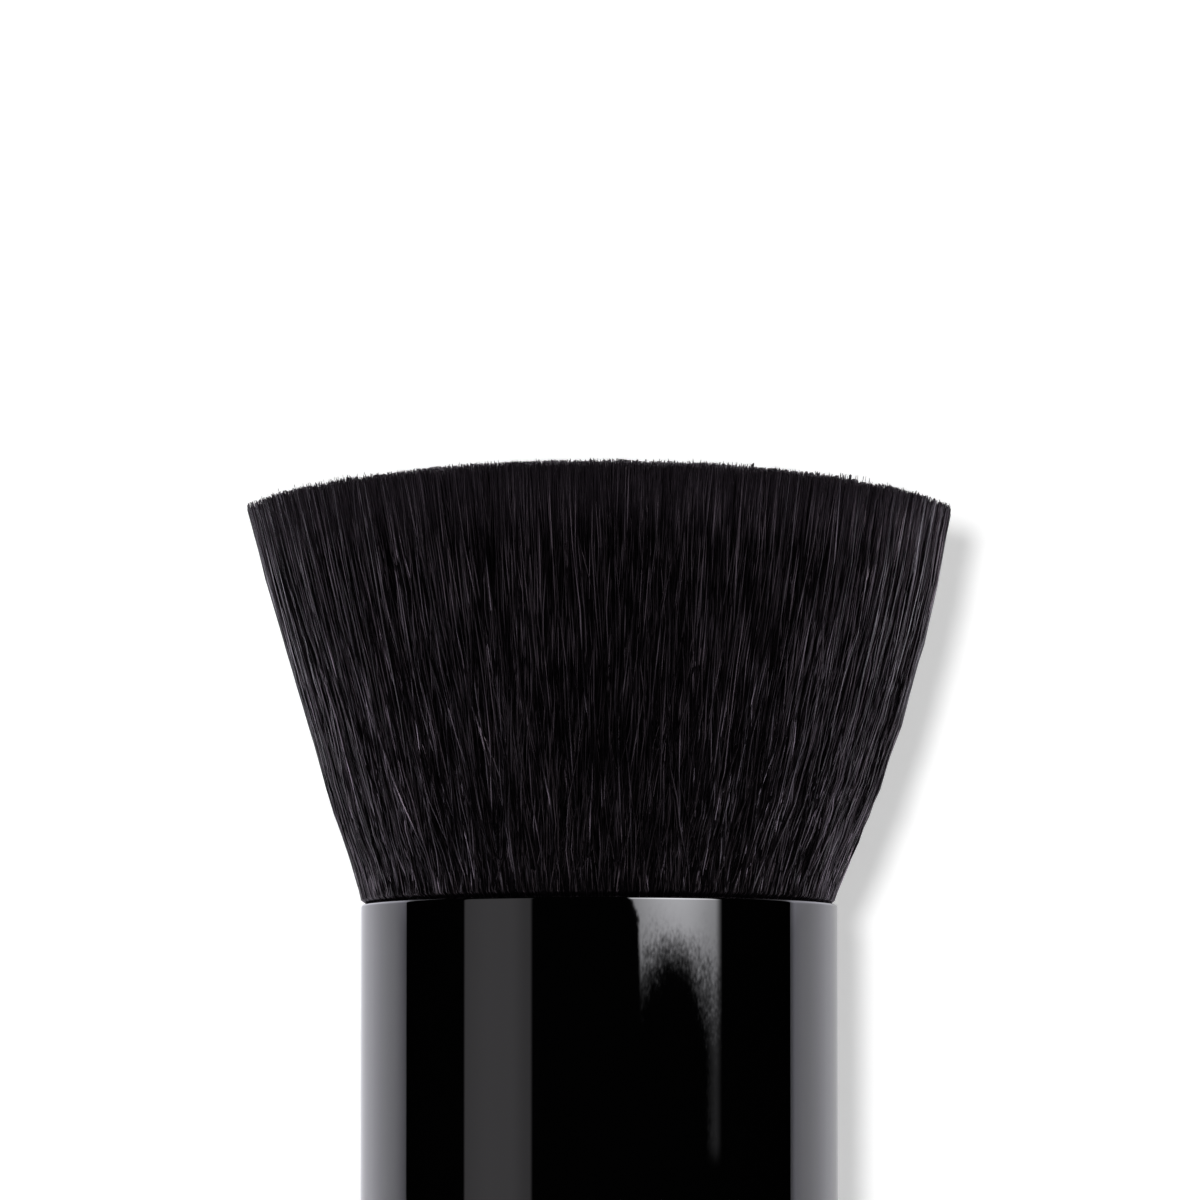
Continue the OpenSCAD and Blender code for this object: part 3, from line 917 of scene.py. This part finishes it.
def make_backdrop(material):
    """The board behind the brush. In reflections it is palest to both sides and dark behind the middle, with
    a plainer band at the height that the handle's wall mirrors."""
    left, right, back, top = -139.0, 152.0, 28 * MM, 160 * MM
    across = np.array([
        left, -132, -125, -118, -100, -76, -60, -41, -32, -21, -14, -6, 2, 10,
        19, 25, 30, 41, 55, 80, 93, 106, 116, 122, 129, 135, 142, right,
    ])
    mirrored = [
        0.3, 0.58, 0.74, 0.79, 0.83, 0.8, 0.85, 0.84, 0.61, 0.52, 0.42, 0.31, 0.22, 0.16,
        0.14, 0.16, 0.31, 0.61, 0.67, 0.7, 0.8, 0.87, 1.05, 1.06, 0.92, 0.67, 0.52, 0.34,
    ]
    rows = (
        (0, 2.8), (0.14, 2.8), (0.17, 1), (0.315, 1), (0.36, 2.6), (0.53, 2.6), (0.62, 0.5), (1, 0.2)
    )
    make_sheet(
        "backdrop", [(left * MM, back, 0), (right * MM, back, 0)],
        [(left * MM, back, top), (right * MM, back, top)], (across - left) / (right - left),
        mirrored, rows, material,
    )


def aim(thing, target):
    """Turns a lamp so that it shines at the target."""
    thing.rotation_euler = (Vector(target) - thing.location).to_track_quat("-Z", "Y").to_euler()


def make_camera(settings):
    """The camera stands on the table's level, square to the brush, and looks up a little."""
    data = bpy.data.cameras.new("camera")
    data.sensor_width = 36.0
    data.lens = data.sensor_width / 2 / tan(settings.camera_half_field)
    data.clip_start, data.clip_end = 0.01, 10.0
    camera = bpy.data.objects.new("camera", data)
    camera.location = (settings.camera_x, -settings.camera_y, settings.camera_z)
    camera.rotation_euler = (pi / 2 + settings.camera_tilt, 0, 0)
    bpy.context.scene.collection.objects.link(camera)
    bpy.context.scene.camera = camera


def make_world(settings):
    """White to the camera, soft grey light on everything, and dark in reflections, as a dim studio is."""
    world = bpy.data.worlds.new("studio")
    tree = empty_tree(world)
    paths = add(tree, "LightPath").outputs
    white = add(tree, "Background", Color=(1, 1, 1, 1), Strength=1.0)
    soft = add(tree, "Background", Color=(1, 1, 1, 1), Strength=settings.ambient)
    dark = add(tree, "Background", Color=(0, 0, 0, 1), Strength=0.0)
    gloss = add(tree, "MixShader", Fac=paths["Is Glossy Ray"])
    tree.links.new(soft.outputs[0], gloss.inputs[1])
    tree.links.new(dark.outputs[0], gloss.inputs[2])
    seen = add(tree, "MixShader", Fac=paths["Is Camera Ray"])
    tree.links.new(gloss.outputs[0], seen.inputs[1])
    tree.links.new(white.outputs[0], seen.inputs[2])
    tree.links.new(seen.outputs[0], add(tree, "OutputWorld").inputs["Surface"])
    bpy.context.scene.world = world


def make_lamps(settings):
    """A small round key lamp beside the camera, which throws the narrow shadow, and a soft lamp overhead."""
    beam = bpy.data.lights.new("key", "SPOT")
    beam.energy, beam.shadow_soft_size = settings.key_power, settings.key_size / 2
    beam.spot_size, beam.spot_blend = radians(20), 0.2
    key = bpy.data.objects.new("key", beam)
    key.location = (-37 * MM, -settings.camera_y, 61 * MM)
    wide_lamp = bpy.data.lights.new("overhead", "AREA")
    wide_lamp.energy = settings.overhead_power
    wide_lamp.shape, wide_lamp.size, wide_lamp.size_y = "RECTANGLE", 700 * MM, 500 * MM
    overhead = bpy.data.objects.new("overhead", wide_lamp)
    overhead.location = (-150 * MM, -100 * MM, 950 * MM)
    for lamp in (key, overhead):
        aim(lamp, (0, 0, RIM_Z))
        lamp.visible_camera = lamp.visible_glossy = False
        bpy.context.scene.collection.objects.link(lamp)


# Operators

class KABUKI_OT_side_bristles(bpy.types.Operator):
    """Make the outer layer of bristles"""

    bl_idname = "kabuki.side_bristles"
    bl_label = "Side bristles"
    bl_options = {"REGISTER", "UNDO"}

    def execute(self, context):
        settings = context.scene.kabuki_head
        head, rng = Head(settings), np.random.default_rng(SEED + 10)
        paths, along = side_bristles(head, settings.side_count, rng)
        material = outer_finish(settings)
        radius = 0.5 * settings.bristle_d
        make_bristles("bristles_side", paths, along, radius, rng, material, head, parts=8)
        return {"FINISHED"}


class KABUKI_OT_crown_bristles(bpy.types.Operator):
    """Make the bristle ends of the crown"""

    bl_idname = "kabuki.crown_bristles"
    bl_label = "Crown bristles"
    bl_options = {"REGISTER", "UNDO"}

    def execute(self, context):
        settings = context.scene.kabuki_head
        head, rng = Head(settings), np.random.default_rng(SEED + 11)
        paths, along = crown_bristles(head, settings.crown_count, rng)
        # The crown's tips take the crown colour, painted light that stands in for light falling on the crown
        # from above
        material = bristle_finish(settings, "crown_bristle", settings.crown_painted_light, 1.0)
        radius = 0.65 * settings.bristle_d
        make_bristles("bristles_crown", paths, along, radius, rng, material, head, parts=4)
        return {"FINISHED"}


class KABUKI_OT_stray_bristles(bpy.types.Operator):
    """Make the bristles that lie across the others"""

    bl_idname = "kabuki.stray_bristles"
    bl_label = "Stray bristles"
    bl_options = {"REGISTER", "UNDO"}

    def execute(self, context):
        settings = context.scene.kabuki_head
        head, rng = Head(settings), np.random.default_rng(SEED + 12)
        paths, along = stray_bristles(head, settings.stray_count, rng)
        material = outer_finish(settings)
        radius = 0.4 * settings.bristle_d
        make_bristles("bristles_stray", paths, along, radius, rng, material, head)
        return {"FINISHED"}


class KABUKI_OT_bristle_heart(bpy.types.Operator):
    """Make the solid mass inside the bristles, from the root to just under the crown"""

    bl_idname = "kabuki.bristle_heart"
    bl_label = "Bristle heart"
    bl_options = {"REGISTER", "UNDO"}

    def execute(self, context):
        settings = context.scene.kabuki_head
        head = Head(settings)
        inner = 1 - settings.layer
        height = np.linspace(0, head.edge_h - 2 * MM, 40)
        side = np.stack([inner * head.outline(height, pi / 2), RIM_Z + height], 1)
        share, under_crown = np.linspace(inner, 0, 20), 2.2 * MM
        top_r = share * head.outline(head.edge_h, pi / 2)
        top = np.stack([top_r, RIM_Z + head.cut(share, 0) - under_crown], 1)
        root_z = CUP_MOUTH_Z + 0.5 * MM
        profile = np.concatenate([[(0, root_z), (inner * head.rim_r, root_z)], side, top[1:]])
        make_piece(
            "bristle_heart", "bristles", "bristle_bundle", heart_finish(settings), *domed(profile, 128)
        )
        return {"FINISHED"}


class KABUKI_OT_handle_tube(bpy.types.Operator):
    """Make the lacquered tube with its rounded rim"""

    bl_idname = "kabuki.handle_tube"
    bl_label = "Handle tube"
    bl_options = {"REGISTER", "UNDO"}

    def execute(self, context):
        s = context.scene.kabuki_handle
        bore_r = CUP_R + CUP_CLEARANCE
        outer = quarter_round((TUBE_R - s.rim_round, RIM_Z - s.rim_round), s.rim_round, 0, 90, 14)
        inner_middle = (bore_r + s.rim_inner_round, RIM_Z - s.rim_inner_round)
        inner = quarter_round(inner_middle, s.rim_inner_round, 90, 180, 6)
        foot = [(bore_r, TUBE_LOW_Z), (TUBE_R - s.bevel, TUBE_LOW_Z)]
        wall_low, wall_high = (TUBE_R, TUBE_LOW_Z + s.bevel), (TUBE_R, outer[0, 1] - 0.04 * MM)
        wall = straight(wall_low, wall_high, 24)
        profile = np.concatenate([foot, wall, [wall_high], outer, inner])
        make_piece(
            "handle_tube_lacquered", "handle_lacquer", "handle_tube", lacquer_finish(s),
            *revolved(profile, 720),
        )
        return {"FINISHED"}


class KABUKI_OT_base_cap(bpy.types.Operator):
    """Finish the base cap in polished plastic"""

    bl_idname = "kabuki.base_cap"
    bl_label = "Base cap"
    bl_options = {"REGISTER", "UNDO"}

    def execute(self, context):
        colour = context.scene.kabuki_handle.cap_colour
        polished = plastic_finish("cap_plastic", colour, 1.5, 700.0, 0.0006 * MM, (0.06, 0.14))
        dress("base_cap", polished)
        return {"FINISHED"}


class KABUKI_OT_inner_pieces(bpy.types.Operator):
    """Finish the pieces inside the handle"""

    bl_idname = "kabuki.inner_pieces"
    bl_label = "Inner pieces"
    bl_options = {"REGISTER", "UNDO"}

    def execute(self, context):
        aluminium, steel = (0.77, 0.77, 0.79), (0.50, 0.50, 0.52)
        plastic, foam = (0.045, 0.045, 0.05), (0.03, 0.03, 0.03)
        dress("hair_cup", metal_finish(
            "drawn_aluminium", aluminium, 0.82, 2500.0, 0.002 * MM, (0.22, 0.38)
        ))
        dress("weight", metal_finish(
            "turned_steel", steel, 0.75, 4000.0, 0.006 * MM, (0.25, 0.42)
        ))
        dress("handle_core", plastic_finish(
            "moulded_core", plastic, 1.35, 5000.0, 0.006 * MM, (0.5, 0.65)
        ))
        dress("weight_pad", plastic_finish(
            "pad_foam", foam, 1.8, 2600.0, 0.09 * MM, (0.85, 0.95)
        ))
        dress("root_resin", resin_finish())
        dress("binding_thread", thread_finish())
        return {"FINISHED"}


class KABUKI_OT_studio(bpy.types.Operator):
    """Set up the floor, backdrop, lights and camera"""

    bl_idname = "kabuki.studio"
    bl_label = "Studio"
    bl_options = {"REGISTER", "UNDO"}

    def execute(self, context):
        settings = context.scene.kabuki_studio
        context.scene.view_settings.view_transform = "Standard"
        make_camera(settings)
        make_world(settings)
        make_lamps(settings)
        white = (0.88, 0.88, 0.88)
        make_floor(sheet_material("pale_floor", white, 0.5))
        make_backdrop(sheet_material("white_board", white, 0.45))
        low = np.array([-60, 220]) * MM
        reflection_card(
            "left_card", np.radians(np.linspace(*LEFT_CARD, 160)), low, left_glow,
            light_material("left_light", (0.985, 0.955, 1.0)),
        )
        fine = np.concatenate([[-60], np.linspace(32, 70, 380), [80, 90, 300]]) * MM
        reflection_card(
            "right_card", np.radians(np.linspace(*RIGHT_CARD, 240)), fine, right_glow,
            light_material("right_light", (0.955, 0.955, 1.0)),
        )
        return {"FINISHED"}


class KABUKI_PT_panel(bpy.types.Panel):
    """The add-on's panel in the sidebar"""

    bl_idname = "KABUKI_PT_panel"
    bl_label = "Kabuki Brush"
    bl_space_type = "VIEW_3D"
    bl_region_type = "UI"
    bl_category = "Kabuki Brush"

    def draw(self, context):
        layout = self.layout
        for operator in OPERATORS:
            layout.operator(operator.bl_idname)
        for group in ("kabuki_head", "kabuki_handle", "kabuki_studio"):
            settings = getattr(context.scene, group)
            box = layout.box()
            for name in settings.__annotations__:
                box.prop(settings, name)


SETTINGS = (KabukiHeadSettings, KabukiHandleSettings, KabukiStudioSettings)
OPERATORS = (
    KABUKI_OT_studio,
    KABUKI_OT_bristle_heart,
    KABUKI_OT_side_bristles,
    KABUKI_OT_crown_bristles,
    KABUKI_OT_stray_bristles,
    KABUKI_OT_handle_tube,
    KABUKI_OT_base_cap,
    KABUKI_OT_inner_pieces,
)


def register():
    for kind in (*SETTINGS, *OPERATORS, KABUKI_PT_panel):
        bpy.utils.register_class(kind)
    bpy.types.Scene.kabuki_head = PointerProperty(type=KabukiHeadSettings)
    bpy.types.Scene.kabuki_handle = PointerProperty(type=KabukiHandleSettings)
    bpy.types.Scene.kabuki_studio = PointerProperty(type=KabukiStudioSettings)


def unregister():
    for name in ("kabuki_head", "kabuki_handle", "kabuki_studio"):
        delattr(bpy.types.Scene, name)
    for kind in reversed((*SETTINGS, *OPERATORS, KABUKI_PT_panel)):
        bpy.utils.unregister_class(kind)


def main():
    register()
    for operator in OPERATORS:
        group, name = operator.bl_idname.split(".")
        getattr(getattr(bpy.ops, group), name)()


if __name__ == "__main__":
    main()
